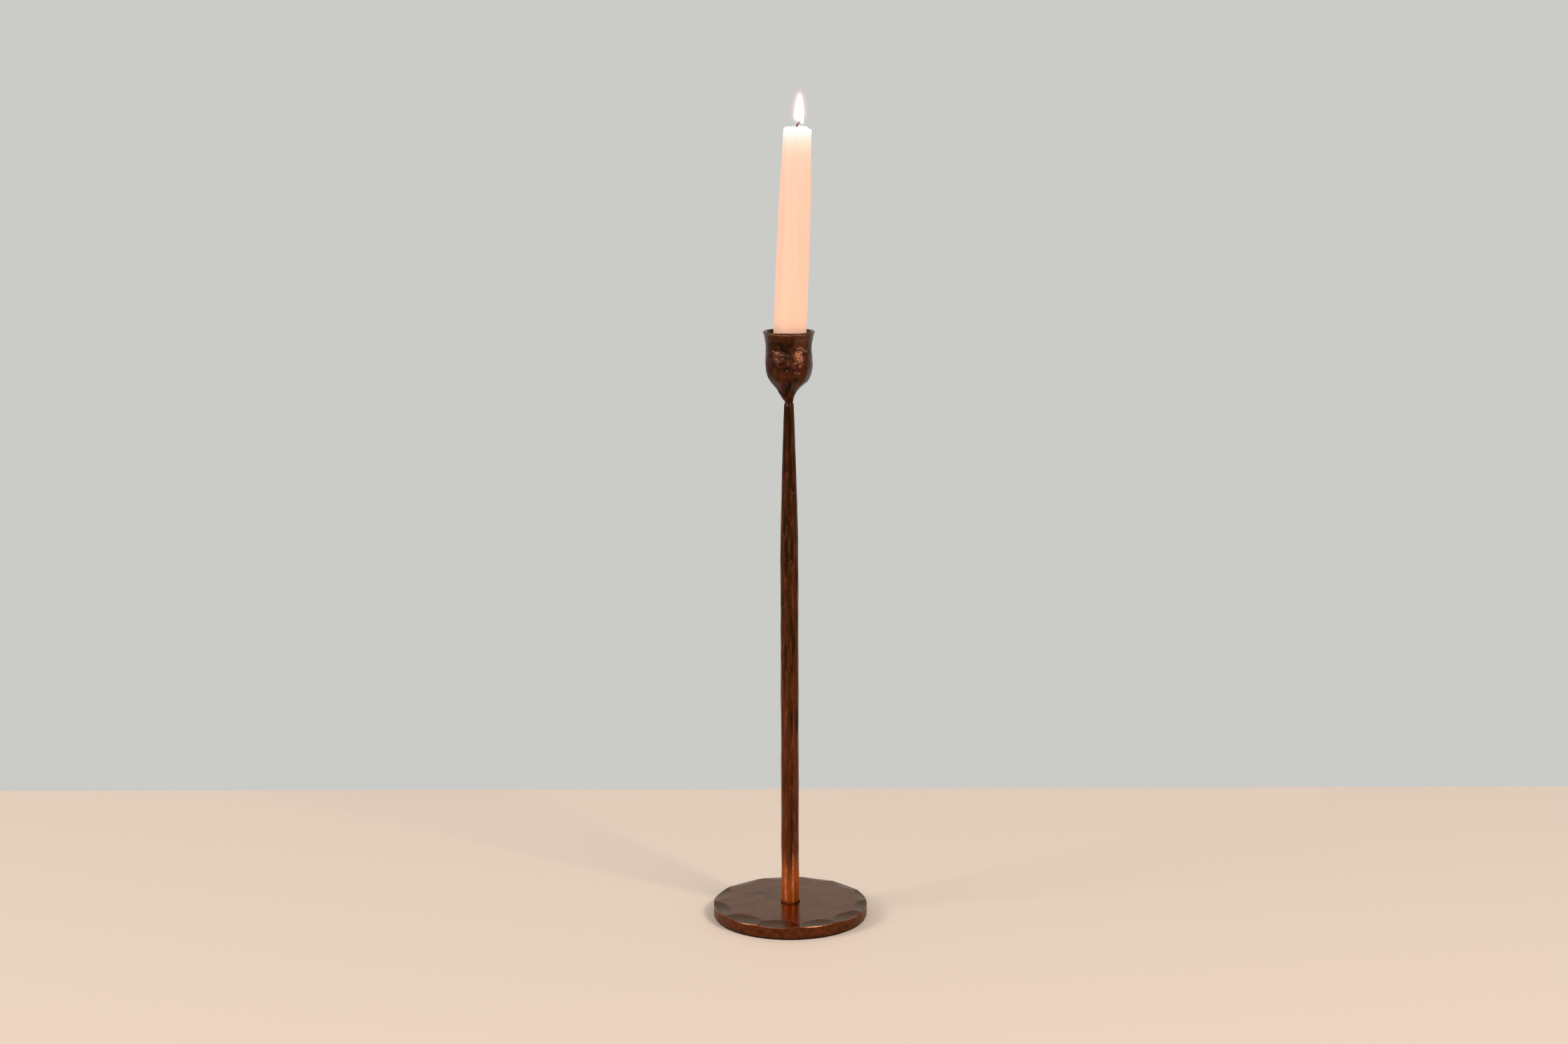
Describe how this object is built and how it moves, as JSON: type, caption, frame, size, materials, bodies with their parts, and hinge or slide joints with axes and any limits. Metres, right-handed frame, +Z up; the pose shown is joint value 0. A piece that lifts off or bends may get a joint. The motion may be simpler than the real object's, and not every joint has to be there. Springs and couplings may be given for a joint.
{
  "type": "tall candlestick",
  "caption": "Tall forged candlestick: hammered round foot plate, eight-sided tapering stem, tulip cup and a leaning dinner candle.",
  "frame": {"origin": "centre of the felt pad's underside, on the stem's axis", "axes": "+Z up along the stem, -Y towards the viewer of the picture, +X to that viewer's right, which is the way the candle leans"},
  "size_m": [0.105, 0.105, 0.5357],
  "materials": {
    "black_felt": "pressed felt",
    "antiqued_copper_plate": "antiqued copper under satin lacquer",
    "antiqued_copper_stem": "antiqued copper under gloss lacquer",
    "antiqued_copper_cup": "antiqued copper under gloss lacquer",
    "zinced_steel": "bright zinc",
    "peach_wax": "smooth wax",
    "wick_cotton": "braided cotton, charred at the tip"
  },
  "bodies": {
    "holder": {"felt_pad": "black_felt", "base_plate": "antiqued_copper_plate", "foot_screw": "zinced_steel", "stem": "antiqued_copper_stem", "candle_cup": "antiqued_copper_cup", "cup_screw": "zinced_steel"},
    "candle": {"candle": "peach_wax", "wick": "wick_cotton"}
  },
  "joints": [
    {"name": "candle_lift", "type": "slide", "parent": "holder", "child": "candle", "axis": [0.0401, 0, 0.9992], "range_m": [0, 0.06]}
  ]
}
